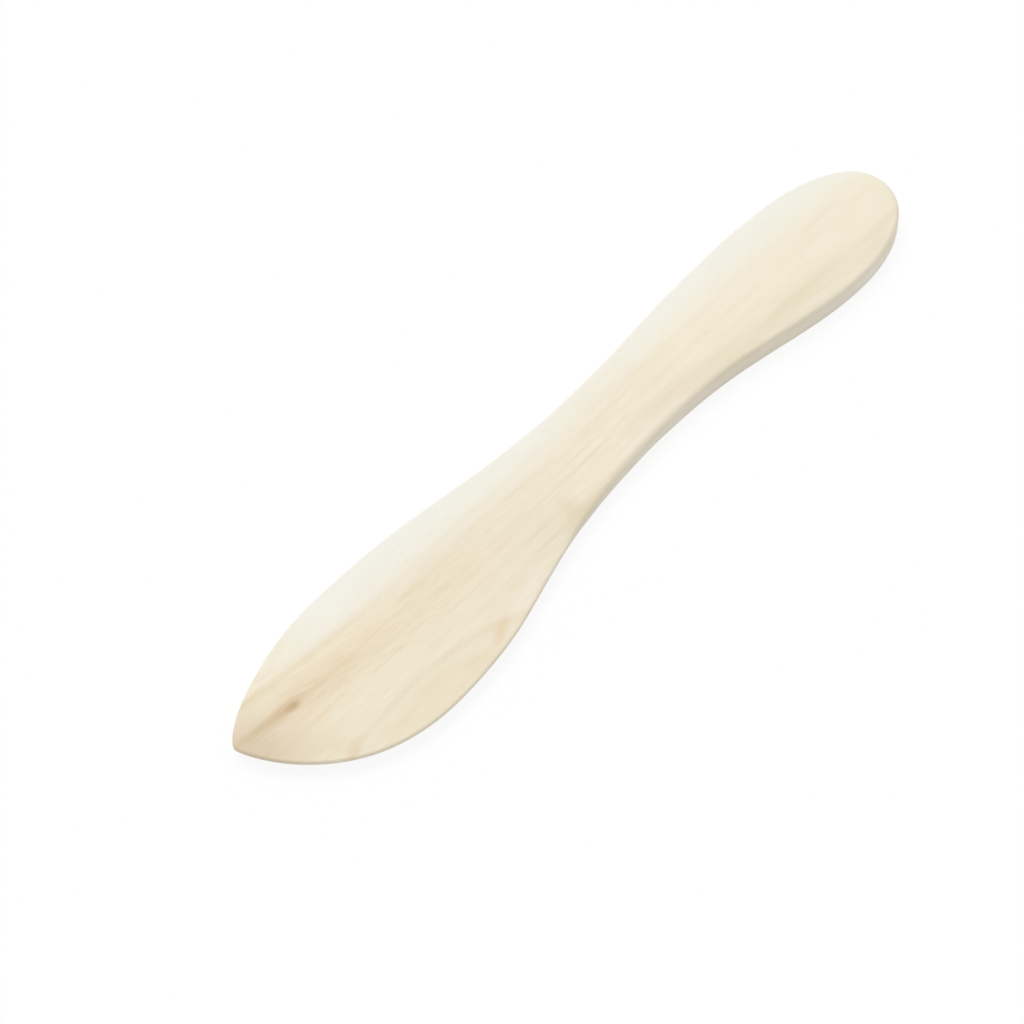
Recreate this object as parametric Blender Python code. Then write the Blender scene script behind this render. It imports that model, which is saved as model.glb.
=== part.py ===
"""Wooden cheese knife, carved from one flat board. Metres, +Z up.

The knife lies flat on one face. +X runs from the tip of the blade to the butt of the handle, -Y is the side
of the cutting edge, and the origin is on the table under the middle of the knife's bounding box. Both faces
are shaped alike, so the knife is its own mirror image in the plane through the middle of the board.
"""

import math

import bmesh
import bpy
import numpy as np

NODE_NAME = "knife_body"

# Board: the two lengths meet at the waist, and their sum is the knife's length.
BLADE_LENGTH = 0.097
HANDLE_LENGTH = 0.073
BLADE_WIDTH = 0.0324
BOARD_THICKNESS = 0.006

# Outline, measured out from the blade's centre line. The spine lies to +Y of it and the cutting edge to -Y.
TIP_OUT = 0.0064
CREST_FROM_TIP = 0.031
BELLY_FROM_TIP = 0.0322
SPINE_WAIST_BEFORE = 0.003
SPINE_WAIST_OUT = 0.01135
EDGE_WAIST_AFTER = 0.0071
EDGE_WAIST_OUT = -0.0063
SPINE_SWELL_FROM_BUTT = 0.0343
SPINE_SWELL_OUT = 0.01285
EDGE_SWELL_FROM_BUTT = 0.0192
EDGE_SWELL_OUT = -0.0121
BUTT_OUT = -0.0005

# How far the control points of the outline's spans reach, as shares of the span: two at the tip, four along
# the two spans that meet at the waist, and two at the butt.
SPINE_TIP_EASE = (0.26, 0.62)
EDGE_TIP_EASE = (0.07, 0.78)
SPINE_WAIST_EASE = (0.47, 0.47, 0.35, 0.42)
EDGE_WAIST_EASE = (0.40, 0.59, 0.46, 0.35)
SPINE_BUTT_EASE = (0.75, 0.56)
EDGE_BUTT_EASE = (0.53, 0.65)

# Blade: bevelled from both faces towards the cutting edge, and thinned towards the tip. Part of the
# bevel's depth is cut gently along the neck. The rest starts at the heel, beside the edge, and spreads
# over the blade.
EDGE_THICKNESS = 0.0014
NECK_CUT_SHARE = 0.48
NECK_CUT_AFTER_WAIST = 0.018
NECK_CUT_RUN = 0.038
HEEL_BEFORE_WAIST = 0.018
HEEL_RUN = 0.011
HEEL_BEVEL_WIDTH = 0.0065
BLADE_BEVEL_WIDTH = 0.027
BEVEL_SPREAD = 0.028
BEVEL_SOFTNESS = 0.4
TIP_TAPER_LENGTH = 0.034

# Hand finish: faces crowned towards the outline, and a round along every edge, fuller at the neck.
CROWN_DROP = 0.0006
CROWN_WIDTH = 0.008
EDGE_ROUND = 0.001
NECK_ROUND = 0.00145
NECK_ROUND_SPREAD = 0.026
ROUND_SHARE_OF_WALL = 0.85

# Ends of the rib, the line down the middle of each face on which the surface closes.
RIB_FROM_TIP = 0.006
RIB_FROM_BUTT = 0.011

# Places along the knife that follow from its length
TIP_X = -0.5 * (BLADE_LENGTH + HANDLE_LENGTH)
WAIST_X = TIP_X + BLADE_LENGTH
NECK_CUT_X = WAIST_X + NECK_CUT_AFTER_WAIST
HEEL_X = WAIST_X - HEEL_BEFORE_WAIST
BUTT_X = WAIST_X + HANDLE_LENGTH

# Fineness of the mesh
SPAN_STEPS = 16
ROUND_STEPS = 4
FACE_STEPS = 6
SHARP_ANGLE = math.radians(40.0)

# Pale sanded wood
WOOD_COLOUR = (0.86, 0.79, 0.64, 1.0)
WOOD_ROUGHNESS = 0.55


def clear_scene():
    """Remove the objects that a new scene starts with."""
    for item in list(bpy.data.objects):
        bpy.data.objects.remove(item, do_unlink=True)


def ramp(value):
    """Smooth step from 0 to 1 as the value goes from 0 to 1."""
    share = np.clip(value, 0.0, 1.0)
    return share * share * (3.0 - 2.0 * share)


def span(start, start_control, end_control, end):
    """Points along one cubic Bezier span of the outline, without its last point."""
    t = np.linspace(0.0, 1.0, SPAN_STEPS, endpoint=False)[:, None]
    s = 1.0 - t
    return s**3 * start + 3.0 * s**2 * t * start_control + 3.0 * s * t**2 * end_control + t**3 * end


def half_outline(shoulder, waist, swell, tip_ease, waist_ease, butt_ease):
    """One side of the outline from the tip to the butt, through its widest, narrowest and widest points.

    The outline runs along the knife at those three points and across it at the tip and the butt.
    """
    tip = np.array((TIP_X, TIP_OUT))
    butt = np.array((BUTT_X, BUTT_OUT))
    along = np.array((1.0, 0.0))
    across = np.array((0.0, 1.0))
    blade_end = shoulder - tip
    neck_front = (waist - shoulder) * along
    neck_back = (swell - waist) * along
    handle_end = butt - swell
    tip_pulls = (tip + tip_ease[0] * blade_end * across, shoulder - tip_ease[1] * blade_end * along)
    front_pulls = (shoulder + waist_ease[0] * neck_front, waist - waist_ease[1] * neck_front)
    back_pulls = (waist + waist_ease[2] * neck_back, swell - waist_ease[3] * neck_back)
    butt_pulls = (swell + butt_ease[0] * handle_end * along, butt - butt_ease[1] * handle_end * across)
    spans = [
        span(tip, *tip_pulls, shoulder),
        span(shoulder, *front_pulls, waist),
        span(waist, *back_pulls, swell),
        span(swell, *butt_pulls, butt),
        butt[None],
    ]
    return np.concatenate(spans)


def spine_and_edge():
    """The outline's two sides, each from the tip to the butt."""
    spine = half_outline(
        np.array((TIP_X + CREST_FROM_TIP, 0.5 * BLADE_WIDTH)),
        np.array((WAIST_X - SPINE_WAIST_BEFORE, SPINE_WAIST_OUT)),
        np.array((BUTT_X - SPINE_SWELL_FROM_BUTT, SPINE_SWELL_OUT)),
        SPINE_TIP_EASE,
        SPINE_WAIST_EASE,
        SPINE_BUTT_EASE,
    )
    edge = half_outline(
        np.array((TIP_X + BELLY_FROM_TIP, -0.5 * BLADE_WIDTH)),
        np.array((WAIST_X + EDGE_WAIST_AFTER, EDGE_WAIST_OUT)),
        np.array((BUTT_X - EDGE_SWELL_FROM_BUTT, EDGE_SWELL_OUT)),
        EDGE_TIP_EASE,
        EDGE_WAIST_EASE,
        EDGE_BUTT_EASE,
    )
    return spine, edge


def distance_to(points, line):
    """Shortest distance from each point to a line of straight pieces."""
    start = line[:-1]
    step = np.diff(line, axis=0)
    reach = points[:, None] - start
    share = np.clip((reach * step).sum(axis=2) / (step**2).sum(axis=1), 0.0, 1.0)
    return np.linalg.norm(reach - share[..., None] * step, axis=2).min(axis=1)


def bevel_depth(to_edge, bevel_width):
    """Share of the full depth: leaves the face softly and runs nearly straight to 1 at the cutting edge."""
    left = np.clip(1.0 - to_edge / bevel_width, 0.0, 1.0)
    full = math.hypot(1.0, BEVEL_SOFTNESS) - BEVEL_SOFTNESS
    return (np.hypot(left, BEVEL_SOFTNESS) - BEVEL_SOFTNESS) / full


def half_thickness(points, spine, edge):
    """Height of the face above the middle of the board, before its edge is rounded."""
    to_edge = distance_to(points, edge)
    to_outline = np.minimum(to_edge, distance_to(points, spine))
    neck_cut = ramp((NECK_CUT_X - points[:, 0]) / NECK_CUT_RUN)
    before_heel = HEEL_X - points[:, 0]
    heel_cut = ramp(before_heel / HEEL_RUN)
    bevel_growth = BLADE_BEVEL_WIDTH - HEEL_BEVEL_WIDTH
    heel_width = HEEL_BEVEL_WIDTH + bevel_growth * ramp(before_heel / BEVEL_SPREAD)
    bevel = NECK_CUT_SHARE * neck_cut * bevel_depth(to_edge, BLADE_BEVEL_WIDTH)
    bevel += (1.0 - NECK_CUT_SHARE) * heel_cut * bevel_depth(to_edge, heel_width)
    taper = np.clip(1.0 - (points[:, 0] - TIP_X) / TIP_TAPER_LENGTH, 0.0, 1.0) ** 2
    wood_left = (1.0 - bevel) * (1.0 - taper)
    thickness = EDGE_THICKNESS + (BOARD_THICKNESS - EDGE_THICKNESS) * wood_left
    crown = CROWN_DROP * np.clip(1.0 - to_outline / CROWN_WIDTH, 0.0, 1.0) ** 2
    return 0.5 * thickness - crown * thickness / BOARD_THICKNESS


def inward_normals(loop):
    """Unit normals of the closed outline, pointing into the wood. The outline runs clockwise."""
    tangent = np.roll(loop, -1, axis=0) - np.roll(loop, 1, axis=0)
    tangent /= np.linalg.norm(tangent, axis=1)[:, None]
    return np.stack((tangent[:, 1], -tangent[:, 0]), axis=1)


def rib_points(spine, edge):
    """Points midway between spine and edge, gathered on one point at each end of the knife."""
    middle = 0.5 * (spine + edge)
    along = np.clip(middle[:, 0], TIP_X + RIB_FROM_TIP, BUTT_X - RIB_FROM_BUTT)
    return np.stack((along, np.interp(along, middle[:, 0], middle[:, 1])), axis=1)


def face_rings(spine, edge):
    """Rings of one face from the side wall in to the rib, as pairs of plan points and heights."""
    loop = np.concatenate((spine, edge[-2:0:-1]))
    rib = rib_points(spine, edge)
    rib_loop = np.concatenate((rib, rib[-2:0:-1]))
    inward = inward_normals(loop)
    neck_share = 1.0 - ramp(np.abs(loop[:, 0] - WAIST_X) / NECK_ROUND_SPREAD)
    full_round = EDGE_ROUND + (NECK_ROUND - EDGE_ROUND) * neck_share
    rim_height = half_thickness(loop + full_round[:, None] * inward, spine, edge)
    radius = np.minimum(full_round, ROUND_SHARE_OF_WALL * rim_height)
    rings = []
    for turn in np.linspace(0.0, 0.5 * math.pi, ROUND_STEPS + 1):
        inset = radius * (1.0 - math.cos(turn))
        rings.append((loop + inset[:, None] * inward, rim_height - radius * (1.0 - math.sin(turn))))
    rim = rings[-1][0]
    for share in np.linspace(0.0, 1.0, FACE_STEPS + 1)[1:]:
        points = (1.0 - share) * rim + share * rib_loop
        rings.append((points, half_thickness(points, spine, edge)))
    return rings


def carve_knife():
    """Mesh of the whole knife: the two faces' rings joined by the side wall and closed along the ribs."""
    spine, edge = spine_and_edge()
    rings = face_rings(spine, edge)
    board_middle = 0.5 * BOARD_THICKNESS
    stack = [(points, board_middle - height) for points, height in reversed(rings)]
    stack += [(points, board_middle + height) for points, height in rings]

    build = bmesh.new()
    loops = []
    for points, heights in stack:
        made = {}
        loop = []
        for (x, y), z in zip(points, heights):
            if (x, y) not in made:
                made[(x, y)] = build.verts.new((x, y, z))
            loop.append(made[(x, y)])
        loops.append(loop)
    for lower, upper in zip(loops, loops[1:]):
        for here in range(len(lower)):
            after = (here + 1) % len(lower)
            corners = (lower[after], lower[here], upper[here], upper[after])
            build.faces.new(list(dict.fromkeys(corners)))
    bmesh.ops.recalc_face_normals(build, faces=build.faces)

    mesh = bpy.data.meshes.new(NODE_NAME)
    build.to_mesh(mesh)
    build.free()
    mesh.shade_smooth()
    mesh.set_sharp_from_angle(angle=SHARP_ANGLE)
    return mesh


def sanded_wood():
    """Pale, matt, unvarnished wood."""
    material = bpy.data.materials.new("sanded_wood")
    material.use_nodes = True
    shader = material.node_tree.nodes["Principled BSDF"]
    shader.inputs["Base Color"].default_value = WOOD_COLOUR
    shader.inputs["Roughness"].default_value = WOOD_ROUGHNESS
    shader.inputs["Metallic"].default_value = 0.0
    return material


def main():
    clear_scene()
    knife = bpy.data.objects.new(NODE_NAME, carve_knife())
    knife.data.materials.append(sanded_wood())
    bpy.context.scene.collection.objects.link(knife)


main()
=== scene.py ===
import math

import bpy
import numpy as np
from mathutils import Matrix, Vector


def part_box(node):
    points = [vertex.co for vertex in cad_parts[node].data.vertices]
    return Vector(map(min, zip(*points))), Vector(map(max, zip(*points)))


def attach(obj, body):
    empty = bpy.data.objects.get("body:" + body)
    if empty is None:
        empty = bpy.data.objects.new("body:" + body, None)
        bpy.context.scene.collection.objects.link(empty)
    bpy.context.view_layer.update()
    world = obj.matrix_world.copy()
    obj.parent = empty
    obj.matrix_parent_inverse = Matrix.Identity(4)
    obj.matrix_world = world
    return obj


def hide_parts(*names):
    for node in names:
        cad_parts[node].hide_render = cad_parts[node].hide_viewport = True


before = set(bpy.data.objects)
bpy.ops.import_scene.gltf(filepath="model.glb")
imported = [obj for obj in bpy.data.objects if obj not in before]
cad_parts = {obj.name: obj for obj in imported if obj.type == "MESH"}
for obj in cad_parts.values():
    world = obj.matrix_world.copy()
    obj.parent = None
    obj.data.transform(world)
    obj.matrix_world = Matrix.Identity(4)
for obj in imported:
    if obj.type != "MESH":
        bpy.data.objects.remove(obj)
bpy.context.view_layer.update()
print("frame loaded,", len(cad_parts), "node")

mm = 0.001


def addNode(tree, kind, inputs=None, **options):
    # One shader node. Inputs are values, or nodes or sockets to link, by the socket's name or number.
    made = tree.nodes.new(kind)
    for option, value in options.items():
        setattr(made, option, value)
    for socket, value in (inputs or {}).items():
        if isinstance(value, bpy.types.Node):
            value = value.outputs[0]
        if isinstance(value, bpy.types.NodeSocket):
            tree.links.new(value, made.inputs[socket])
        else:
            made.inputs[socket].default_value = value
    return made


def linear(hexColour):
    # sRGB hex to linear: c / 12.92 up to 0.04045, and above it ((c + 0.055) / 1.055) to the power 2.4
    coded = np.array([int(hexColour[at:at + 2], 16) for at in (1, 3, 5)]) / 255.0
    value = np.where(coded <= 0.04045, coded / 12.92, ((coded + 0.055) / 1.055) ** 2.4)
    return (*value.tolist(), 1.0)


# The carved knife. Sizes in mm: along from the tip or the butt, out from the blade's middle line to the
# spine. Length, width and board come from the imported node.
lowest, highest = (np.array(corner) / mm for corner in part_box("knife_body"))
length, width, board = highest - lowest
tipX, buttX = lowest[0], highest[0]

knife = {
    "bladeLength": 97.0,
    "tipOut": 6.4,
    "buttOut": -0.5,
    "spineWidest": 31.0,  # from the tip to where the blade is widest, on each side
    "edgeWidest": 32.2,
    "spineWaist": (-3.0, 11.35),  # after the end of the blade, out
    "edgeWaist": (7.1, -6.3),
    "spineSwell": (34.3, 12.85),  # before the butt, out
    "edgeSwell": (19.2, -12.1),
    "spineTipEase": (0.26, 0.62),  # reach of the curve's control points, as shares of each stretch
    "edgeTipEase": (0.07, 0.78),
    "spineWaistEase": (0.47, 0.47, 0.35, 0.42),
    "edgeWaistEase": (0.40, 0.59, 0.46, 0.35),
    "spineButtEase": (0.75, 0.56),
    "edgeButtEase": (0.53, 0.65),
    "edgeThickness": 1.4,
    "neckCutShare": 0.48,  # share of the bevel's depth cut along the neck, the rest is cut at the heel
    "neckCutAfterWaist": 18.0,
    "neckCutRun": 38.0,
    "heelBeforeWaist": 18.0,
    "heelRun": 11.0,
    "heelBevel": 6.5,
    "bladeBevel": 27.0,
    "bevelSpread": 28.0,
    "bevelSoftness": 0.4,  # share of its width over which the flat bevel rounds into the face
    "tipTaper": 34.0,
    "crownDrop": 0.6,
    "crownWidth": 8.0,
    "edgeRound": 1.0,
    "neckRound": 1.45,
    "neckRoundSpread": 26.0,
    "roundShareOfWall": 0.85,
    "roundVaries": 0.2,  # share by which hand sanding changes the round
    "roundSeed": 8,
    "sawnWobble": 0.12,  # deepest hollow along the sawn outline
    "sawnSeed": 3,
    "lapWaves": 8,  # waves round the outline, of this many whole cycles
    "lapCycles": (3, 24),
    "sandedHollow": 0.10,  # deepest hollow that the sanding leaves in a face
    "hollowWaves": 6,
    "hollowLength": (20.0, 60.0),
    "faceSeeds": (5, 11),  # upper face, lower face
    "alongSteps": 400,
    "acrossSteps": 72,
    "roundSteps": 7,
    "wallSteps": 5,
    "tipArc": 9.0,  # the ends of the face grids reach this far round the outline from the tip and the butt
    "buttArc": 14.0,
    "curveSteps": 400,  # points on each stretch of the outline, of which distances use one in so many
    "gapStride": 8,
    "gapBlock": 2000,  # points measured at a time
    "aheadReach": 0.3,  # the outline's direction is taken over this far to both sides
    "slopeFrom": 0.8,  # a face's slope is taken from this share of the round inwards, over this far
    "slopeReach": 0.6,
    "mapMargin": 0.008,  # bake map, as shares of it: faces above, strips of the band below
    "mapFaces": (0.63, 0.26),  # where the upper face and the lower face start
    "mapFaceHeight": 0.36,
    "mapStrips": (0.13, 0.01),  # where the strips along the spine and along the edge start
    "mapStripHeight": 0.11,
    "mapStripReach": (0.02, 0.96),  # start and run of both strips
}


def ramp(value):
    # Smooth step: 3 s^2 - 2 s^3 of the value held between 0 and 1
    share = np.clip(value, 0.0, 1.0)
    return share * share * (3.0 - 2.0 * share)


def curveStretch(start, startPull, endPull, end):
    # Cubic curve: the points weighted by s^3, 3 s^2 t, 3 s t^2 and t^3 with s = 1 - t, without its end
    t = np.linspace(0.0, 1.0, knife["curveSteps"], endpoint=False)[:, None]
    s = 1.0 - t
    return s**3 * start + 3.0 * s**2 * t * startPull + 3.0 * s * t**2 * endPull + t**3 * end


def outlineSide(side, widestOut):
    # One side from tip to butt: four cubic stretches, across the knife at its ends and along it in between
    tip, butt = np.array((tipX, knife["tipOut"])), np.array((buttX, knife["buttOut"]))
    widest = np.array((tipX + knife[side + "Widest"], widestOut))
    waist = np.array(knife[side + "Waist"]) + (tipX + knife["bladeLength"], 0.0)
    beforeButt, swellOut = knife[side + "Swell"]
    swell = np.array((buttX - beforeButt, swellOut))
    tipEase, waistEase, buttEase = (knife[side + end + "Ease"] for end in ("Tip", "Waist", "Butt"))
    along, across = np.array((1.0, 0.0)), np.array((0.0, 1.0))
    bladeEnd, handleEnd = widest - tip, butt - swell
    neckFront, neckBack = (waist - widest) * along, (swell - waist) * along
    stretches = (
        (tip, tip + tipEase[0] * bladeEnd * across, widest - tipEase[1] * bladeEnd * along, widest),
        (widest, widest + waistEase[0] * neckFront, waist - waistEase[1] * neckFront, waist),
        (waist, waist + waistEase[2] * neckBack, swell - waistEase[3] * neckBack, swell),
        (swell, swell + buttEase[0] * handleEnd * along, butt - buttEase[1] * handleEnd * across, butt),
    )
    return np.concatenate([*(curveStretch(*stretch) for stretch in stretches), butt[None]])


def gapTo(points, line):
    # Least distance from each point to a line of straight pieces: the nearest place on each, block by block
    start, step = line[:-1], np.diff(line, axis=0)
    gaps = []
    for block in np.array_split(points, len(points) // knife["gapBlock"] + 1):
        reach = block[:, None] - start
        share = np.clip((reach * step).sum(axis=2) / (step**2).sum(axis=1), 0.0, 1.0)
        gaps.append(np.linalg.norm(reach - share[..., None] * step, axis=2).min(axis=1))
    return np.concatenate(gaps)


def bevelDepth(toEdge, bevelWidth):
    # A hyperbola that leaves the face softly and runs nearly straight to 1 at the cutting edge
    soft = knife["bevelSoftness"]
    left = np.clip(1.0 - toEdge / bevelWidth, 0.0, 1.0)
    return (np.hypot(left, soft) - soft) / (math.hypot(1.0, soft) - soft)


def carvedHeight(points, toSpine, toEdge):
    # Height of a face above the board's middle: the board less the bevel, part of which starts along the neck
    # and part at the heel, less the taper to the tip, less the crown that drops towards the outline
    beforeWaist = tipX + knife["bladeLength"] - points[:, 0]
    neckCut = ramp((beforeWaist + knife["neckCutAfterWaist"]) / knife["neckCutRun"])
    beforeHeel = beforeWaist - knife["heelBeforeWaist"]
    heelCut = ramp(beforeHeel / knife["heelRun"])
    bevelGrowth = knife["bladeBevel"] - knife["heelBevel"]
    heelWidth = knife["heelBevel"] + bevelGrowth * ramp(beforeHeel / knife["bevelSpread"])
    bevel = knife["neckCutShare"] * neckCut * bevelDepth(toEdge, knife["bladeBevel"])
    bevel += (1.0 - knife["neckCutShare"]) * heelCut * bevelDepth(toEdge, heelWidth)
    taper = np.clip(1.0 - (points[:, 0] - tipX) / knife["tipTaper"], 0.0, 1.0) ** 2
    thickness = knife["edgeThickness"] + (board - knife["edgeThickness"]) * (1.0 - bevel) * (1.0 - taper)
    toOutline = np.minimum(toSpine, toEdge)
    crown = knife["crownDrop"] * np.clip(1.0 - toOutline / knife["crownWidth"], 0.0, 1.0) ** 2
    return 0.5 * thickness - crown * thickness / board


def sandedHollows(points, seed):
    # Slow hollows of hand sanding: the mean of sine waves in seeded directions, shifted to run from 0 to 1
    draw = np.random.default_rng(seed)
    count = knife["hollowWaves"]
    turn = draw.uniform(0.0, math.pi, count)
    wave = 2.0 * math.pi / draw.uniform(*knife["hollowLength"], count)
    phase = draw.uniform(0.0, 2.0 * math.pi, count)
    travel = points[:, :1] * np.cos(turn) + points[:, 1:] * np.sin(turn)
    return 0.5 + 0.5 * np.sin(wave * travel + phase).mean(axis=1)


def sandedHeight(points, lines, seed):
    # Height of a face as it is left: the carved height less the hollows of the sanding
    toSpine, toEdge = (gapTo(points, line) for line in lines)
    return carvedHeight(points, toSpine, toEdge) - knife["sandedHollow"] * sandedHollows(points, seed)


def lapWaves(lap, seed):
    # Waves that close round the outline: the mean of sines of whole cycles in one lap, from 0 to 1
    draw = np.random.default_rng(seed)
    fewest, most = knife["lapCycles"]
    cycles = draw.integers(fewest, most + 1, knife["lapWaves"])
    phase = draw.uniform(0.0, 2.0 * math.pi, knife["lapWaves"])
    return 0.5 + 0.5 * np.sin(2.0 * math.pi * lap[:, None] * cycles + phase).mean(axis=1)


def sawnOutline(spine, edge):
    # Stations round the outline, clockwise from above, by distance from the tip: even steps on each of four
    # arcs, along the spine, round the butt, along the edge and round the tip. Each has its place, which the
    # saw's wobble moves, and the direction inwards, square to the outline
    loop = np.concatenate((spine, edge[-2::-1]))
    travelled = np.concatenate(((0.0,), np.cumsum(np.linalg.norm(np.diff(loop, axis=0), axis=1))))
    spineLength, around = travelled[len(spine) - 1], travelled[-1]
    tipArc, buttArc = knife["tipArc"], knife["buttArc"]
    corners = (tipArc, spineLength - buttArc, spineLength + buttArc, around - tipArc, around + tipArc)
    counts = (knife["alongSteps"], knife["acrossSteps"]) * 2
    arcs = [np.linspace(a, b, n, endpoint=False) for a, b, n in zip(corners, corners[1:], counts)]
    stations = np.concatenate(arcs)

    def onOutline(distance):
        return np.stack([np.interp(distance % around, travelled, loop[:, axis]) for axis in (0, 1)], axis=1)

    ahead = onOutline(stations + knife["aheadReach"]) - onOutline(stations - knife["aheadReach"])
    ahead /= np.linalg.norm(ahead, axis=1)[:, None]
    inward = np.stack((ahead[:, 1], -ahead[:, 0]), axis=1)
    wobble = knife["sawnWobble"] * lapWaves(stations / around, knife["sawnSeed"])
    outline = onOutline(stations) + wobble[:, None] * inward
    return stations, spineLength, around, outline, inward


def handRounds(outline, lap):
    # Radius of the sanded round at each station: largest at the waist, and uneven as a hand leaves it
    fromWaist = np.abs(outline[:, 0] - tipX - knife["bladeLength"])
    neckShare = 1.0 - ramp(fromWaist / knife["neckRoundSpread"])
    rounds = knife["edgeRound"] + (knife["neckRound"] - knife["edgeRound"]) * neckShare
    return rounds * (1.0 + knife["roundVaries"] * (2.0 * lapWaves(lap, knife["roundSeed"]) - 1.0))


def rimArcs(rim):
    # The rim of a face, cut at its grid's corners: two arcs from tip to butt and two from spine to edge
    nAlong, nAcross = knife["alongSteps"], knife["acrossSteps"]
    closed = np.concatenate((rim, rim[:1]))
    spine, butt = closed[:nAlong + 1], closed[nAlong:nAlong + nAcross + 1]
    edge = closed[nAlong + nAcross:2 * nAlong + nAcross + 1][::-1]
    tip = closed[2 * nAlong + nAcross:][::-1]
    return spine, butt, edge, tip


def patchWithin(rim):
    # Patch between the rim's four arcs: the blend of opposite arcs both ways, less that of the corners
    spine, butt, edge, tip = rimArcs(rim)
    u = np.linspace(0.0, 1.0, len(spine))[:, None, None]
    v = np.linspace(0.0, 1.0, len(tip))[None, :, None]
    sides = (1.0 - v) * spine[:, None] + v * edge[:, None]
    ends = (1.0 - u) * tip[None] + u * butt[None]
    corners = (1.0 - u) * ((1.0 - v) * tip[0] + v * tip[-1]) + u * ((1.0 - v) * butt[0] + v * butt[-1])
    return sides + ends - corners


def carveHalf(outline, inward, rounds, lines, seed):
    # Half of the knife, face up: at each station an arc from face to wall, and the face within their rim. The
    # arc leaves along the face, whose slope is measured just inside the rim
    slopeFrom, slopeReach = knife["slopeFrom"] * rounds, knife["slopeReach"]
    near = sandedHeight(outline + slopeFrom[:, None] * inward, lines, seed)
    far = sandedHeight(outline + (slopeFrom + slopeReach)[:, None] * inward, lines, seed)
    slope = np.arctan((far - near) / slopeReach)
    radius = np.minimum(rounds, knife["roundShareOfWall"] * near)
    rim = outline + (radius * (1.0 - np.sin(slope)))[:, None] * inward
    turn = np.linspace(1.0, 0.0, knife["roundSteps"] + 1)[:, None] * (0.5 * math.pi - slope)
    inset = radius * (1.0 - np.cos(turn))
    band = np.empty((*turn.shape, 3))
    band[..., :2] = outline + inset[..., None] * inward
    band[..., 2] = sandedHeight(rim, lines, seed) + radius * (np.sin(turn) - np.cos(slope))
    patch = patchWithin(rim)
    height = sandedHeight(patch.reshape(-1, 2), lines, seed).reshape(patch.shape[:2])
    return band, np.concatenate((patch, height[..., None]), axis=2)


def faceNumbers(rim, first):
    # Vertex numbers of a face's grid: the rim's own on its border, and new ones from the first on inside
    spine, butt, edge, tip = rimArcs(rim)
    numbers = np.empty((len(spine), len(tip)), dtype=int)
    inside = numbers[1:-1, 1:-1]
    inside[:] = first + np.arange(inside.size).reshape(inside.shape)
    numbers[:, 0] = spine
    numbers[-1] = butt
    numbers[:, -1] = edge
    numbers[0] = tip
    return numbers


def gridQuads(numbers):
    # The four corners of each cell of a grid of vertex numbers
    cells = (numbers[:-1, :-1], numbers[:-1, 1:], numbers[1:, 1:], numbers[1:, :-1])
    return np.stack(cells, axis=-1).reshape(-1, 4)


def faceMap(corners, bottom):
    # A face on the bake map, as seen from above: along the knife to the right, out to the spine upwards
    margin = knife["mapMargin"]
    place = (corners[..., :2] - lowest[:2]) / (length, width)
    right = margin + (1.0 - 2.0 * margin) * place[..., 0]
    up = bottom + knife["mapFaceHeight"] * place[..., 1]
    return np.stack((right, up), axis=-1)


def bandMap(stations, spineLength, around, nRows):
    # The band on the bake map as two strips, spine and edge: to the right the distance from tip to butt along
    # the outline, and upwards the rows from the upper face to the lower one
    ends = np.append(stations, stations[0] + around)
    cells = np.stack((ends[:-1], ends[1:]), axis=1)
    middle = cells.mean(axis=1)
    onEdge = (middle > spineLength) & (middle < around)
    alongSpine = np.where((middle > around)[:, None], cells - around, cells) / spineLength
    alongEdge = (around - cells) / (around - spineLength)
    stripStart, stripRun = knife["mapStripReach"]
    right = stripStart + stripRun * np.where(onEdge[:, None], alongEdge, alongSpine)
    rows = np.linspace(0.0, 1.0, nRows)
    rows = np.stack((rows[:-1], rows[1:]), axis=1)
    spineStrip, edgeStrip = knife["mapStrips"]
    bottom = np.where(onEdge, edgeStrip, spineStrip)
    up = bottom[:, None, None] + knife["mapStripHeight"] * rows[None][..., [0, 0, 1, 1]]
    right = np.broadcast_to(right[:, None, [0, 1, 1, 0]], up.shape)
    return np.stack((right, up), axis=-1).reshape(-1, 4, 2)


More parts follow.
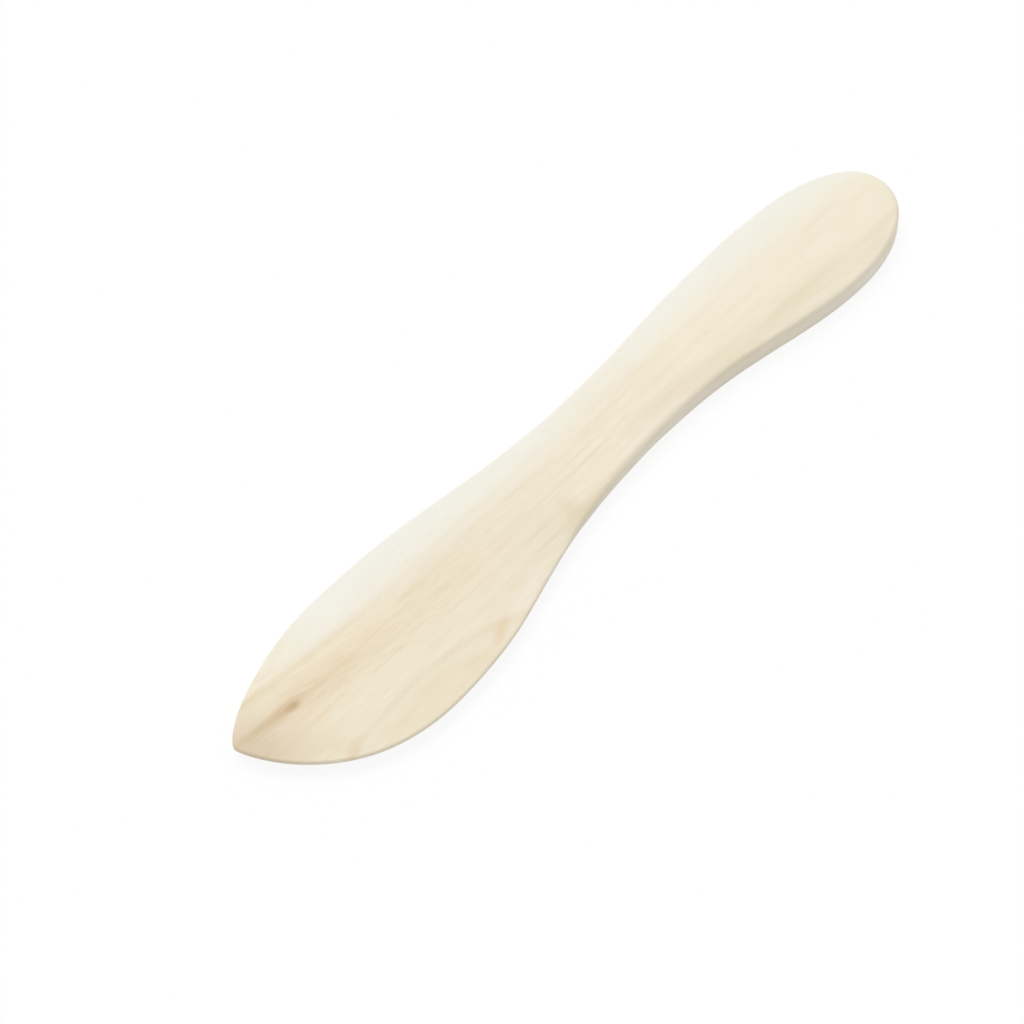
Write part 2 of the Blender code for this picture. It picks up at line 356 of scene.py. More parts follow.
def carveKnife():
    # The whole knife as three grids that share their rims: two faces, and a band round the outline that turns
    # from the upper face over a round, down the sawn wall and round on to the lower face
    spine, edge = outlineSide("spine", 0.5 * width), outlineSide("edge", -0.5 * width)
    lines = [side[::knife["gapStride"]] for side in (spine, edge)]
    stations, spineLength, around, outline, inward = sawnOutline(spine, edge)
    rounds = handRounds(outline, stations / around)
    halves = [carveHalf(outline, inward, rounds, lines, seed) for seed in knife["faceSeeds"]]
    (upperBand, upperFace), (lowerBand, lowerFace) = halves

    # lower half upside down, then the wall between the two rounds
    lowerBand[..., 2] *= -1.0
    lowerFace[..., 2] *= -1.0
    share = np.linspace(0.0, 1.0, knife["wallSteps"] + 1)[1:-1, None, None]
    wall = (1.0 - share) * upperBand[-1] + share * lowerBand[-1]
    band = np.concatenate((upperBand, wall, lowerBand[::-1]))
    grids = (band, upperFace[1:-1, 1:-1], lowerFace[1:-1, 1:-1])
    points = np.concatenate([grid.reshape(-1, 3) for grid in grids])
    points[:, 2] += 0.5 * board

    # vertex numbers in the same order: the band, then the inner points of the two faces
    nRows, nRound = band.shape[:2]
    bandNumbers = np.arange(nRows * nRound).reshape(nRows, nRound)
    upperNumbers = faceNumbers(bandNumbers[0], bandNumbers.size)
    lowerNumbers = faceNumbers(bandNumbers[-1], upperNumbers.max() + 1)
    closedBand = np.concatenate((bandNumbers, bandNumbers[:, :1]), axis=1)
    upper, lower = gridQuads(upperNumbers), gridQuads(lowerNumbers)[:, ::-1]
    side = gridQuads(closedBand.T)[:, [0, 3, 2, 1]]

    mesh = bpy.data.meshes.new("carvedKnife")
    mesh.from_pydata((points * mm).tolist(), [], np.concatenate((upper, lower, side)).tolist())
    upperStart, lowerStart = knife["mapFaces"]
    bakePlaces = np.concatenate((faceMap(points[upper], upperStart), faceMap(points[lower], lowerStart),
                                 bandMap(stations, spineLength, around, nRows)))
    mesh.uv_layers.new(name="OFBake").uv.foreach_set("vector", bakePlaces.ravel())
    fromSpine, fromEdge = (gapTo(points[:, :2], line) for line in lines)
    across = fromSpine / (fromSpine + fromEdge)  # 0 on the spine, 1 on the cutting edge
    mesh.attributes.new("across", "FLOAT", "POINT").data.foreach_set("value", across)
    mesh.shade_smooth()
    return mesh


# Birch, sawn, carved and hand sanded, left bare: a pale cream face with fine straight growth lines, a warm
# band of heartwood behind a pin knot near the tip, paler sapwood along the spine with a painted highlight
# over it, and a soft, matt sheen. Some coloured places are painted shade or painted highlight, as marked.
# Places are in mm from the middle of the knife, and up from the table.
birch = {
    "early": "#F1E8D3",
    "late": "#E6DABE",
    "flush": "#EFDAC6",  # faint pink patches
    # paler sapwood along the spine, which also carries a painted highlight on the spine's side
    "sapAndHighlight": "#ECEBE2",
    "line": "#D9C49C",
    "sawn": "#ECE8DE",  # greyer, paler tone laid over all the walls
    "endGrain": "#E4D5B7",
    "endLate": "#CFBB93",
    "pore": "#D2BC93",
    "ior": 1.5,
    "roughness": (0.5, 0.66),
    "relief": 0.06,  # mm between the fibres and the pores
    "reliefStrength": 0.6,
    "grainTurn": 1.5,  # degrees from the knife's length to the grain, towards the cutting edge
    "sway": (0.0, 1.2, 0.8),  # mm that the growth lines wander
    "markSway": 0.3,  # share of it by which the placed lines and colours wander
    "climb": 3.2,  # mm that the growth lines rise on the spine's side of the blade, towards the tip
    "climbFrom": (-48.0, -84.0),
    "climbAcross": (-6.0, 6.0),
    "knot": (-72.6, 4.2, 4.6),  # where the growth lines part, with the reach and the push each way
    "knotReach": (11.0, 4.5, 5.0),
    "knotPush": (0.0, -0.6, -0.3),
    "pith": (-9.0, -24.0),  # mm across the grain and up, where the rings have their middle
    "ringGap": 1.3,  # mm between growth lines
    "ringDetail": 3.0,
    "ringRoughness": 0.6,
    "ringRange": (0.38, 0.72),  # levels of the noise over which a growth line darkens
    "fadeRange": (0.3, 0.7),
    "fadeLeast": 0.15,  # what is left of a growth line where it fades
    "fibreRange": (0.3, 0.7),
    "fibreShare": 0.45,  # of the figure, the rest is growth lines
    "wallLevel": (0.8, 0.3),  # upward part of the normal, from the end of a face to a wall
    "wallFigure": 1.2,  # how much more the figure shows on the sawn walls, about its mean tone
    "meanTone": 0.33,
    "sawnStrength": 0.3,
    "quietFrom": (-10.0, 62.0),  # mm along over which the figure sinks to this share, about this tone
    "quietShare": 0.36,
    "quietTone": 0.10,
    "flushRange": (0.45, 0.80),
    "flushStrength": 0.16,
    "sapAndHighlightReach": (0.05, 0.46),  # share of the knife's width, from the spine, over which the paleness fades
    "sapAndHighlightFromTip": (-78.0, -52.0),
    "sapAndHighlightStrength": 0.85,
    "sapAndHighlightBelow": 0.4,  # share of the paleness left underneath, where the rings bend away from the sapwood
    "endFacing": 0.45,  # how far a wall faces along the grain where its end grain starts to show
    "endStrength": 0.55,
    "poreRange": (0.62, 0.78),
    "poreStrength": 0.14,
    "lineTilt": 15.0,  # degrees from upright at which the rings run through the board
    "lineDown": 2.0,  # boards that a standing line reaches down
    "lineFull": 0.2,  # share of a line's half sizes up to which it is at full strength

    # noise: size of a cell in mm along, across and through the grain, detail, roughness
    "noise": {
        "sway": ((70.0, 16.0, 16.0), 2.0, 0.5),
        "lineFade": ((10.0, 2.5, 2.5), 2.0, 0.5),  # over which a growth line comes and goes
        "fibre": ((8.5, 0.5, 0.5), 4.0, 0.6),
        "flush": ((14.0, 4.0, 4.0), 1.0, 0.5),
        "heartDash": ((5.0, 0.42, 0.7), 1.0, 0.5),  # short dark and pale dashes of the heartwood's fibres
        "pores": ((3.5, 0.28, 0.28), 1.0, 0.5),  # real pores are 0.1 mm wide, drawn coarser so that they show
    },

    # growth lines that stand out on the upper face: from, to, half width in mm, strength
    "lines": (
        ((-89.0, 11.5), (-63.0, 9.05), 1.35, 0.42),
        ((-75.0, 10.3), (-57.0, 7.4), 1.00, 0.36),
        ((-67.0, 8.4), (-48.0, 7.3), 1.00, 0.28),
        ((-70.0, 4.1), (-54.0, 1.7), 0.85, 0.34),
        ((-61.0, 1.7), (-44.0, 1.0), 0.70, 0.26),
        ((-57.0, 3.1), (-42.0, 2.6), 0.75, 0.31),
        ((-50.0, 4.4), (-26.0, 3.7), 0.65, 0.14),
        ((-48.0, 0.6), (-22.0, 0.0), 0.65, 0.16),
        ((-84.0, -1.0), (-60.0, -1.4), 0.70, 0.26),
        ((-65.0, -1.8), (-44.0, -2.6), 0.70, 0.25),
        ((-41.0, -1.5), (-15.0, -1.8), 0.65, 0.16),
        ((-44.0, -3.8), (-22.0, -4.3), 0.70, 0.18),
        ((-24.0, -0.3), (14.0, -0.9), 0.65, 0.13),
        ((-24.0, -4.0), (-9.0, -4.9), 0.70, 0.24),
        ((-23.0, -7.0), (-10.0, -7.2), 0.60, 0.22),
        ((-7.0, -0.4), (9.0, -0.8), 0.60, 0.25),
        ((-18.0, 1.3), (10.0, 1.2), 0.60, 0.15),
        ((-2.0, 3.8), (20.0, 3.8), 0.65, 0.18),
        ((30.0, -2.3), (56.0, -2.0), 0.70, 0.10),
        ((34.0, -5.7), (72.0, -6.9), 1.40, 0.17),
        ((63.0, -6.7), (92.0, -7.9), 1.20, 0.18),
        ((60.0, 2.6), (78.0, 2.4), 1.00, 0.14),
    ),

    # coloured places: name, colour, middle, degrees turned from the knife's length, half sizes in mm, share
    # of those at which the colour is fullest, shares from there over which it fades, strength
    "marks": (
        ("warmBand", "#E8D8BB", (-46.0, 1.8, 4.0), -4.0, (46.0, 10.0, 9.0), 0.0, (0.0, 1.0), 0.64),
        ("warmUpper", "#EFDAB6", (-58.0, 6.2, 4.5), -6.0, (22.0, 4.5, 5.0), 0.0, (0.0, 1.0), 0.34),
        ("warmCore", "#E4CFAC", (-61.0, 3.0, 4.0), -5.0, (17.0, 5.0, 5.0), 0.0, (0.0, 1.0), 0.58),
        ("tongue", "#E9DABA", (-56.0, -16.0, 3.5), 0.0, (24.0, 8.0, 9.0), 0.0, (0.6, 1.0), 0.35),
        ("tongueLine", "#D4BC92", (-57.0, -16.6, 3.5), 0.0, (28.0, 8.2, 9.0), 1.0, (0.0, 0.13), 0.18),
        ("tongueInner", "#D4BC92", (-55.0, -16.0, 3.5), 0.0, (24.0, 8.0, 9.0), 0.58, (0.0, 0.14), 0.08),
        ("tongueEnd", "#DCAC5C", (-36.4, -12.4, 3.5), 22.0, (5.0, 1.7, 4.0), 0.0, (0.0, 1.0), 0.31),
        ("tongueStart", "#D6AF80", (-71.6, -9.4, 3.5), 28.0, (3.4, 2.2, 4.0), 0.0, (0.0, 1.0), 0.26),
        # painted highlight: a pale band just inside the cutting edge at the heel, beside the shaded wall
        ("heelPale", "#F4EEE2", (-27.5, -10.6, 3.5), 15.0, (9.5, 2.6, 4.0), 0.0, (0.0, 1.0), 0.32),
        # painted shade: a dark spot where the bevel starts at the heel
        ("heelRub", "#D2BA8E", (-9.3, -4.5, 5.0), 12.0, (3.1, 3.2, 4.0), 0.0, (0.0, 1.0), 0.28),
        # painted shade: darker bands on the rounded rim, at the heel and along the neck
        ("heelRim", "#CDB68A", (-8.5, -7.1, 4.5), 9.0, (9.0, 2.3, 4.0), 0.0, (0.0, 1.0), 0.34),
        ("neckRim", "#CDB68A", (0.0, -6.3, 5.0), 5.0, (13.0, 1.2, 4.0), 0.0, (0.0, 1.0), 0.22),
        # painted highlight: a pale band along the neck's rim, beside the shaded wall
        ("neckPale", "#F4EEE2", (13.0, -4.75, 5.0), 0.0, (15.0, 0.95, 3.0), 0.0, (0.0, 1.0), 0.34),
        ("neckShade", "#D3BF96", (20.0, -2.4, 5.5), -2.0, (13.0, 2.0, 5.0), 0.0, (0.0, 1.0), 0.18),
        ("neckWarm", "#E9DFC4", (12.0, 8.0, 5.5), 0.0, (17.0, 4.2, 5.0), 0.0, (0.0, 1.0), 0.34),
        ("neckMid", "#DCCDA8", (20.0, 4.0, 5.5), 0.0, (14.0, 4.2, 5.0), 0.0, (0.0, 1.0), 0.13),
        ("handleShade", "#D3BF96", (29.0, -4.4, 5.5), -8.0, (20.0, 3.8, 5.0), 0.0, (0.0, 1.0), 0.17),
        ("handleLow", "#D4CBA8", (53.0, -7.4, 5.5), -3.0, (26.0, 7.2, 6.0), 0.0, (0.0, 1.0), 0.30),
        # painted shade: a darker band on the handle's rounded rim
        ("handleRim", "#C9B48A", (35.0, -7.0, 4.2), -9.0, (10.0, 2.8, 4.5), 0.0, (0.0, 1.0), 0.17),
        # painted highlight: a pale band along the handle's rim, beside the shaded wall
        ("handlePale", "#F6F0E4", (55.0, -9.1, 5.0), -7.0, (11.0, 1.2, 3.0), 0.0, (0.0, 1.0), 0.34),
        # painted shade: a darker band inside the rim near the butt
        ("buttRim", "#CFBD95", (73.0, -9.4, 4.5), 14.0, (7.5, 3.4, 4.5), 0.0, (0.0, 1.0), 0.17),
        # painted light: a paler patch on the handle's wall near the butt, lit brighter there
        ("buttWall", "#FAF5EA", (68.0, -12.0, 2.4), 0.0, (11.0, 3.0, 3.4), 0.0, (0.0, 1.0), 0.60),
        ("tipWarm", "#E4CFB0", (-80.0, 2.0, 4.0), 0.0, (22.0, 14.0, 9.0), 0.0, (0.2, 1.0), 0.38),
        ("tipLow", "#D8CAAC", (-75.5, -3.6, 3.0), -45.0, (12.0, 6.0, 5.0), 0.0, (0.0, 1.0), 0.24),
        ("tipStain", "#D1BEA1", (-87.0, 3.4, 3.0), -10.0, (17.0, 13.0, 9.0), 0.0, (0.1, 1.0), 0.88),
        ("knotHalo", "#D9BF98", (-70.2, 4.3, 4.6), -8.0, (10.0, 4.8, 4.0), 0.0, (0.1, 1.0), 0.38),
        ("streak", "#BF9F70", (-78.0, 5.4, 4.3), -8.0, (10.2, 1.75, 3.0), 0.0, (0.0, 1.0), 0.54),
        ("knotShade", "#C4A271", (-73.6, 4.7, 4.6), -9.0, (5.0, 2.1, 3.0), 0.0, (0.0, 1.0), 0.34),
        ("knot", "#AD8554", (-72.3, 4.3, 4.6), -9.0, (2.2, 1.3, 2.5), 0.0, (0.1, 1.0), 0.40),
    ),

    # the heartwood, where the dashes show, with the same values as a coloured place from its middle on
    "heart": ((-54.0, 1.8, 4.5), -3.0, (42.0, 7.0, 9.0), 0.0, (0.4, 1.0), 0.36),
}


def woodNoise(tree, place, name):
    # Noise in cells of a real size: the place divided by the cell's size, at scale 1
    size, detail, roughness = birch["noise"][name]
    cell = addNode(tree, "ShaderNodeVectorMath", {0: place, 1: size}, operation="DIVIDE")
    return addNode(tree, "ShaderNodeTexNoise",
                   {"Vector": cell, "Scale": 1.0, "Detail": detail, "Roughness": roughness}, label=name)


def depthIn(tree, place, middle, halfSizes, turn, name):
    # Distance from the middle of an ellipsoid as a share of its half sizes: 0 there, 1 on its surface
    inside = addNode(tree, "ShaderNodeMapping",
                     {"Vector": place, "Location": middle, "Rotation": turn, "Scale": halfSizes},
                     vector_type="TEXTURE", label=name)
    return addNode(tree, "ShaderNodeVectorMath", {0: inside}, operation="LENGTH").outputs["Value"]


def bendGrain(tree, place, axes):
    # Places along, across and through the grain: swayed so that no growth line is ruler straight, climbing to
    # the spine near the tip, parted round the knot. Then places that only sway, for the listed lines and
    # marks
    swayNoise = woodNoise(tree, place, "sway")
    sway = addNode(tree, "ShaderNodeVectorMath",
                   {0: swayNoise.outputs["Color"], 1: [2.0 * reach for reach in birch["sway"]],
                    2: [-reach for reach in birch["sway"]]}, operation="MULTIPLY_ADD")
    swayed = addNode(tree, "ShaderNodeVectorMath", {0: place, 1: sway}, operation="ADD")
    climbAlong = addNode(tree, "ShaderNodeMapRange",
                         {"Value": axes.outputs["X"], "From Min": birch["climbFrom"][0],
                          "From Max": birch["climbFrom"][1], "To Max": -birch["climb"]},
                         interpolation_type="SMOOTHSTEP")
    climbAcross = addNode(tree, "ShaderNodeMapRange",
                          {"Value": axes.outputs["Y"], "From Min": birch["climbAcross"][0],
                           "From Max": birch["climbAcross"][1]}, interpolation_type="SMOOTHSTEP")
    climb = addNode(tree, "ShaderNodeMath", {0: climbAlong, 1: climbAcross}, operation="MULTIPLY")
    climbShift = addNode(tree, "ShaderNodeCombineXYZ", {"Y": climb})
    climbed = addNode(tree, "ShaderNodeVectorMath", {0: swayed, 1: climbShift}, operation="ADD")

    fromKnot = addNode(tree, "ShaderNodeVectorMath", {0: place, 1: birch["knot"]}, operation="SUBTRACT")
    knotDepth = depthIn(tree, place, birch["knot"], birch["knotReach"], (0.0, 0.0, 0.0), "parting")
    knotBell = addNode(tree, "ShaderNodeMapRange", {"Value": knotDepth, "To Min": 1.0, "To Max": 0.0},
                       interpolation_type="SMOOTHERSTEP")
    knotPush = addNode(tree, "ShaderNodeVectorMath", {0: fromKnot, 1: birch["knotPush"]},
                       operation="MULTIPLY")
    knotShift = addNode(tree, "ShaderNodeVectorMath", {0: knotPush, "Scale": knotBell}, operation="SCALE")
    parted = addNode(tree, "ShaderNodeVectorMath", {0: climbed, 1: knotShift}, operation="ADD")
    grainTurn = (0.0, 0.0, math.radians(birch["grainTurn"]))
    grain = addNode(tree, "ShaderNodeMapping", {"Vector": parted, "Rotation": grainTurn})

    markSway = addNode(tree, "ShaderNodeVectorMath", {0: sway, "Scale": birch["markSway"]}, operation="SCALE")
    markPlace = addNode(tree, "ShaderNodeVectorMath", {0: place, 1: markSway}, operation="ADD")
    return grain, markPlace


def growthRings(tree, grain):
    # Rings round the pith, cut by the surface: a line of noise over the radius spaces them unevenly
    acrossGrain, up = birch["pith"]
    fromPith = addNode(tree, "ShaderNodeVectorMath",
                       {0: grain, 1: (0.0, 1.0, 1.0), 2: (0.0, -acrossGrain, -up)}, operation="MULTIPLY_ADD")
    radius = addNode(tree, "ShaderNodeVectorMath", {0: fromPith}, operation="LENGTH")
    rings = addNode(tree, "ShaderNodeTexNoise",
                    {"W": radius.outputs["Value"], "Scale": 1.0 / birch["ringGap"],
                     "Detail": birch["ringDetail"], "Roughness": birch["ringRoughness"]},
                    noise_dimensions="1D")
    return addNode(tree, "ShaderNodeMapRange",
                   {"Value": rings, "From Min": birch["ringRange"][0], "From Max": birch["ringRange"][1]})


def sawnWalls(tree, normal):
    # 1 on the sawn walls and 0 on the faces, by how level the surface lies
    upward = addNode(tree, "ShaderNodeSeparateXYZ", {0: normal}).outputs["Z"]
    level = addNode(tree, "ShaderNodeMath", {0: upward}, operation="ABSOLUTE")
    return addNode(tree, "ShaderNodeMapRange",
                   {"Value": level, "From Min": birch["wallLevel"][0], "From Max": birch["wallLevel"][1]},
                   interpolation_type="SMOOTHSTEP")


def figureTone(tree, axes, grain, rings, fibres, walls):
    # From early to late wood: growth lines that come and go, mixed with fibres, stronger on the sawn walls
    # and quieter towards the butt
    lineFade = addNode(tree, "ShaderNodeMapRange",
                       {"Value": woodNoise(tree, grain, "lineFade"), "From Min": birch["fadeRange"][0],
                        "From Max": birch["fadeRange"][1], "To Min": birch["fadeLeast"]})
    growth = addNode(tree, "ShaderNodeMath", {0: rings, 1: lineFade}, operation="MULTIPLY")
    figure = addNode(tree, "ShaderNodeMix", {"Factor": birch["fibreShare"], "A": growth, "B": fibres},
                     data_type="FLOAT")
    showing = addNode(tree, "ShaderNodeMath", {0: walls, 1: birch["wallFigure"], 2: 1.0},
                      operation="MULTIPLY_ADD")
    shown = addNode(tree, "ShaderNodeMix", {"Factor": showing, "A": birch["meanTone"], "B": figure},
                    data_type="FLOAT", clamp_factor=False)
    quiet = addNode(tree, "ShaderNodeMapRange",
                    {"Value": axes.outputs["X"], "From Min": birch["quietFrom"][0],
                     "From Max": birch["quietFrom"][1], "To Min": 1.0, "To Max": birch["quietShare"]},
                    interpolation_type="SMOOTHSTEP")
    return addNode(tree, "ShaderNodeMix", {"Factor": quiet, "A": birch["quietTone"], "B": shown},
                   data_type="FLOAT")


def sapwoodAndHighlight(tree, axes):
    # Paler sapwood with a painted highlight over it: along the spine, fading across the knife, towards the
    # tip and down through the board
    across = addNode(tree, "ShaderNodeAttribute", attribute_name="across")
    sapAndHighlightAcross = addNode(tree, "ShaderNodeMapRange",
                        {"Value": across.outputs["Fac"], "From Min": birch["sapAndHighlightReach"][0],
                         "From Max": birch["sapAndHighlightReach"][1], "To Min": birch["sapAndHighlightStrength"], "To Max": 0.0},
                        interpolation_type="SMOOTHSTEP")
    sapAndHighlightAlong = addNode(tree, "ShaderNodeMapRange",
                       {"Value": axes.outputs["X"], "From Min": birch["sapAndHighlightFromTip"][0],
                        "From Max": birch["sapAndHighlightFromTip"][1]}, interpolation_type="SMOOTHSTEP")
    sapAndHighlightDown = addNode(tree, "ShaderNodeMapRange",
                      {"Value": axes.outputs["Z"], "From Max": board, "To Min": birch["sapAndHighlightBelow"]})
    onFace = addNode(tree, "ShaderNodeMath", {0: sapAndHighlightAcross, 1: sapAndHighlightAlong}, operation="MULTIPLY")
    return addNode(tree, "ShaderNodeMath", {0: onFace, 1: sapAndHighlightDown}, operation="MULTIPLY")


def standingLines(tree, place):
    # A thin, slanting ellipsoid for each line, strongest in its middle; where lines meet, the stronger one
    lines = 0.0
    for start, end, halfWidth, strength in birch["lines"]:
        run = np.subtract(end, start)
        middle = (*(0.5 * np.add(start, end)).tolist(), board)
        halfSizes = (0.5 * float(np.hypot(*run)), halfWidth, birch["lineDown"] * board)
        turn = (math.radians(birch["lineTilt"]), 0.0, math.atan2(run[1], run[0]))
        depth = depthIn(tree, place, middle, halfSizes, turn, "line")
        mask = addNode(tree, "ShaderNodeMapRange",
                       {"Value": depth, "From Min": birch["lineFull"], "To Min": strength, "To Max": 0.0},
                       interpolation_type="SMOOTHSTEP")
        lines = addNode(tree, "ShaderNodeMath", {0: mask, 1: lines}, operation="MAXIMUM")
    return lines


def placedIn(tree, place, name, middle, turn, halfSizes, shell, fade, strength):
    # An ellipsoid that fades away from its middle, or both ways from a shell
    depth = depthIn(tree, place, middle, halfSizes, (0.0, 0.0, math.radians(turn)), name)
    fromShell = addNode(tree, "ShaderNodeMath", {0: depth, 1: shell}, operation="SUBTRACT")
    offShell = addNode(tree, "ShaderNodeMath", {0: fromShell}, operation="ABSOLUTE")
    return addNode(tree, "ShaderNodeMapRange",
                   {"Value": offShell, "From Min": fade[0], "From Max": fade[1],
                    "To Min": strength, "To Max": 0.0}, interpolation_type="SMOOTHSTEP")


def endGrain(tree, normal):
    # Where the wall cuts across the fibres, by how far it faces along the grain
    grainTurn = math.radians(birch["grainTurn"])
    alongGrain = (math.cos(grainTurn), -math.sin(grainTurn), 0.0)
    facing = addNode(tree, "ShaderNodeVectorMath", {0: normal, 1: alongGrain}, operation="DOT_PRODUCT")
    eitherWay = addNode(tree, "ShaderNodeMath", {0: facing.outputs["Value"]}, operation="ABSOLUTE")
    return addNode(tree, "ShaderNodeMapRange",
                   {"Value": eitherWay, "From Min": birch["endFacing"], "To Max": birch["endStrength"]},
                   interpolation_type="SMOOTHSTEP")


def sandedBirch():
    # The figure of the wood, layer after layer over it, and a sheen and relief that follow the fibres
    material = bpy.data.materials.new("sanded birch")
    material.use_nodes = True
    tree = material.node_tree
    shader = tree.nodes["Principled BSDF"]
    shader.inputs["IOR"].default_value = birch["ior"]

    # places in mm, and the patterns that several layers share
    coords = addNode(tree, "ShaderNodeTexCoord")
    normal = coords.outputs["Normal"]
    place = addNode(tree, "ShaderNodeVectorMath",
                    {0: coords.outputs["Object"], "Scale": 1.0 / mm}, operation="SCALE")
    axes = addNode(tree, "ShaderNodeSeparateXYZ", {0: place})
    grain, markPlace = bendGrain(tree, place, axes)
    rings = growthRings(tree, grain)
    walls = sawnWalls(tree, normal)
    fibre = woodNoise(tree, grain, "fibre")
    fibres = addNode(tree, "ShaderNodeMapRange",
                     {"Value": fibre, "From Min": birch["fibreRange"][0], "From Max": birch["fibreRange"][1]})
    pores = addNode(tree, "ShaderNodeMapRange",
                    {"Value": woodNoise(tree, grain, "pores"), "From Min": birch["poreRange"][0],
                     "From Max": birch["poreRange"][1], "To Max": birch["poreStrength"]})
    flush = addNode(tree, "ShaderNodeMapRange",
                    {"Value": woodNoise(tree, grain, "flush"), "From Min": birch["flushRange"][0],
                     "From Max": birch["flushRange"][1], "To Max": birch["flushStrength"]})
    sawn = addNode(tree, "ShaderNodeMath", {0: walls, 1: birch["sawnStrength"]}, operation="MULTIPLY")

    # sockets 6 and 7 of a colour mix are its two colours, and output 2 is the mixed one
    tone = figureTone(tree, axes, grain, rings, fibres, walls)
    colour = addNode(tree, "ShaderNodeMix",
                     {"Factor": tone, 6: linear(birch["early"]), 7: linear(birch["late"])},
                     data_type="RGBA").outputs[2]
    endColour = addNode(tree, "ShaderNodeMix",
                        {"Factor": rings, 6: linear(birch["endGrain"]), 7: linear(birch["endLate"])},
                        data_type="RGBA").outputs[2]

    # layers over the figure in their order: mask, colour, blend. The heartwood's dashes are as dark as they
    # are pale in soft light, so that its mean tone stays
    layers = [
        (flush, linear(birch["flush"]), "MIX"),
        # paler sapwood along the spine, with a painted highlight over it
        (sapwoodAndHighlight(tree, axes), linear(birch["sapAndHighlight"]), "MIX"),
        (standingLines(tree, markPlace), linear(birch["line"]), "MIX"),
    ]
    for name, hexColour, *where in birch["marks"]:
        layers.append((placedIn(tree, markPlace, name, *where), linear(hexColour), "MIX"))
    heart = placedIn(tree, markPlace, "heart", *birch["heart"])
    layers += [
        (heart, woodNoise(tree, grain, "heartDash"), "SOFT_LIGHT"),
        (sawn, linear(birch["sawn"]), "MIX"),
        (endGrain(tree, normal), endColour, "MIX"),
        (pores, linear(birch["pore"]), "MIX"),
    ]
    for mask, tint, blend in layers:
        colour = addNode(tree, "ShaderNodeMix", {"Factor": mask, 6: colour, 7: tint},
                         data_type="RGBA", blend_type=blend).outputs[2]
    tree.links.new(colour, shader.inputs["Base Color"])

    gloss = addNode(tree, "ShaderNodeMapRange",
                    {"Value": fibres, "To Min": birch["roughness"][0], "To Max": birch["roughness"][1]})
    tree.links.new(gloss.outputs[0], shader.inputs["Roughness"])
    relief = addNode(tree, "ShaderNodeMath", {0: fibre, 1: pores}, operation="SUBTRACT")
    bump = addNode(tree, "ShaderNodeBump",
                   {"Height": relief, "Distance": birch["relief"] * mm, "Strength": birch["reliefStrength"]})
    tree.links.new(bump.outputs[0], shader.inputs["Normal"])
    return material


carved = bpy.data.objects.new("carvedKnife", carveKnife())
bpy.context.scene.collection.objects.link(carved)
carved.data.materials.append(sandedBirch())
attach(carved, "root")
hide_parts("knife_body")
print("knife carved,", len(carved.data.polygons), "faces")


# White table and soft light from the spine's side, sizes in metres. Sky and sun together light a level
# surface at 1.
studio = {
    "white": "#FFFFFF",  # table and background
    "floorHalf": 1.5,
    "floorBelow": 0.00002,
    "shadowKept": 0.10,  # share of the floor's shading that the camera sees
    "sky": 0.52,
    "sunLevel": 0.48,
    "sunFrom": (0.15, 0.42, 1.0),
    "sunSpread": 40.0,  # degrees, as the camera's angles
    "azimuth": -48.5,
    "elevation": 57.0,
    "distance": 0.800,
    "lookAt": (-0.01466, 0.00435, 0.0),
    "lens": 155.74,  # mm, as the sensor
    "sensor": 36.0,
}


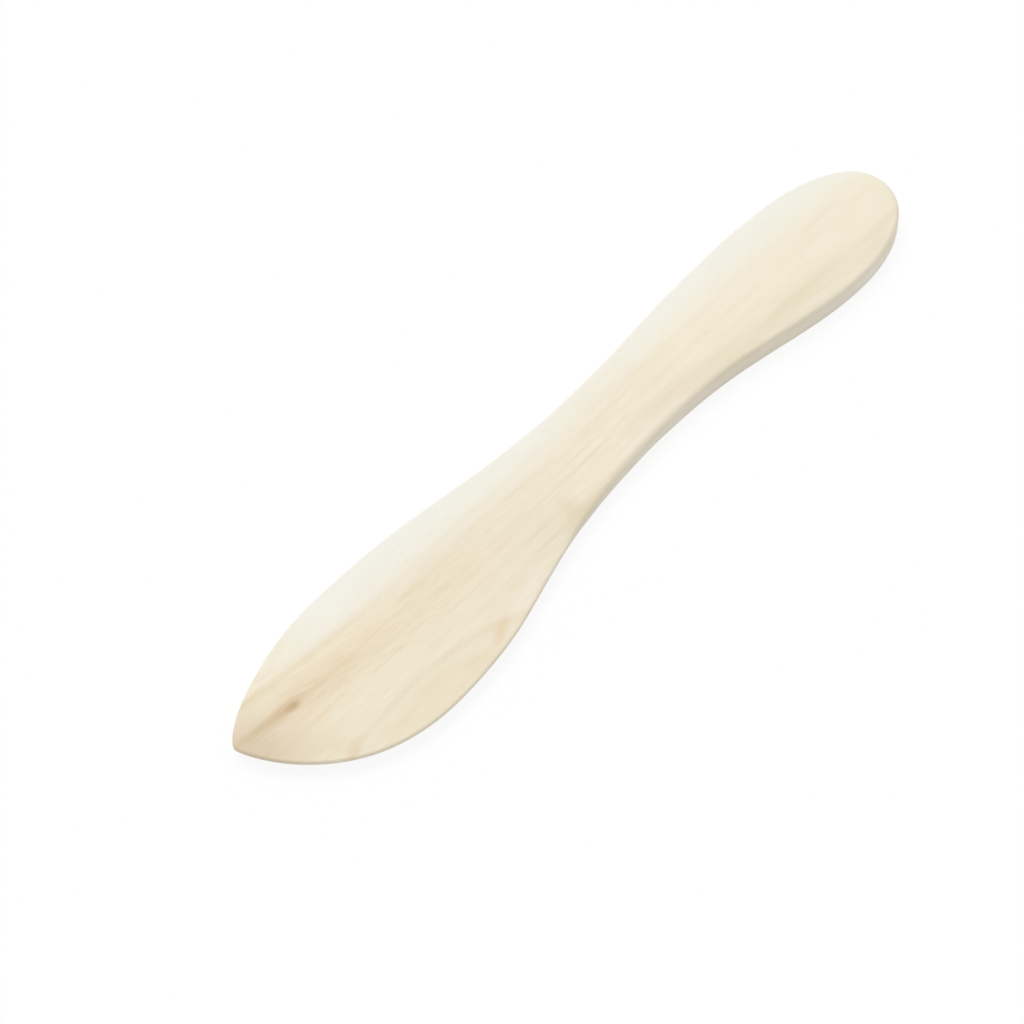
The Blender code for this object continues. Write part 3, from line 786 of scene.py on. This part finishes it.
def layFloor():
    # A flat square, white to the camera but for a share of its shading
    half, below = studio["floorHalf"], -studio["floorBelow"]
    mesh = bpy.data.meshes.new("table")
    corners = [(-half, -half, below), (half, -half, below), (half, half, below), (-half, half, below)]
    mesh.from_pydata(corners, [], [(0, 1, 2, 3)])
    material = bpy.data.materials.new("white table")
    material.use_nodes = True
    tree = material.node_tree
    tree.nodes.clear()
    matt = addNode(tree, "ShaderNodeBsdfDiffuse", {"Color": linear(studio["white"])})
    white = addNode(tree, "ShaderNodeEmission", {"Color": linear(studio["white"])})
    path = addNode(tree, "ShaderNodeLightPath")
    seen = addNode(tree, "ShaderNodeMath", {0: path.outputs["Is Camera Ray"], 1: 1.0 - studio["shadowKept"]},
                   operation="MULTIPLY")
    surface = addNode(tree, "ShaderNodeMixShader", {0: seen, 1: matt, 2: white})
    addNode(tree, "ShaderNodeOutputMaterial", {"Surface": surface})
    mesh.materials.append(material)
    table = bpy.data.objects.new("table", mesh)
    bpy.context.scene.collection.objects.link(table)


def lightStudio():
    # A sky that is white to the camera and in reflections and dimmer as a light, and a wide sun as window
    world = bpy.data.worlds.new("white studio")
    world.use_nodes = True
    tree = world.node_tree
    tree.nodes.clear()
    path = addNode(tree, "ShaderNodeLightPath")
    mirrored = addNode(tree, "ShaderNodeMath",
                       {0: path.outputs["Is Glossy Ray"], 1: path.outputs["Is Transmission Ray"]},
                       operation="MAXIMUM")
    seen = addNode(tree, "ShaderNodeMath", {0: path.outputs["Is Camera Ray"], 1: mirrored},
                   operation="MAXIMUM")
    level = addNode(tree, "ShaderNodeMapRange", {"Value": seen, "To Min": studio["sky"], "To Max": 1.0})
    sky = addNode(tree, "ShaderNodeBackground", {"Color": linear(studio["white"]), "Strength": level})
    addNode(tree, "ShaderNodeOutputWorld", {"Surface": sky})
    bpy.context.scene.world = world

    toSun = Vector(studio["sunFrom"]).normalized()
    sun = bpy.data.lights.new("window", "SUN")
    sun.energy = studio["sunLevel"] * math.pi / toSun.z
    sun.angle = math.radians(studio["sunSpread"])
    lamp = bpy.data.objects.new("window", sun)
    lamp.rotation_euler = toSun.to_track_quat("Z", "Y").to_euler()
    bpy.context.scene.collection.objects.link(lamp)


def placeCamera():
    # At its distance from what it looks at, turned round from the cutting edge's side and raised
    turn, rise = math.radians(studio["azimuth"]), math.radians(studio["elevation"])
    away = Vector((math.sin(turn) * math.cos(rise), -math.cos(turn) * math.cos(rise), math.sin(rise)))
    lens = bpy.data.cameras.new("camera")
    lens.lens = studio["lens"]
    lens.sensor_width = studio["sensor"]
    camera = bpy.data.objects.new("camera", lens)
    camera.location = Vector(studio["lookAt"]) + studio["distance"] * away
    camera.rotation_euler = away.to_track_quat("Z", "Y").to_euler()
    bpy.context.scene.collection.objects.link(camera)
    bpy.context.scene.camera = camera


layFloor()
lightStudio()
placeCamera()
bpy.context.scene.view_settings.view_transform = "Standard"
print("studio set")
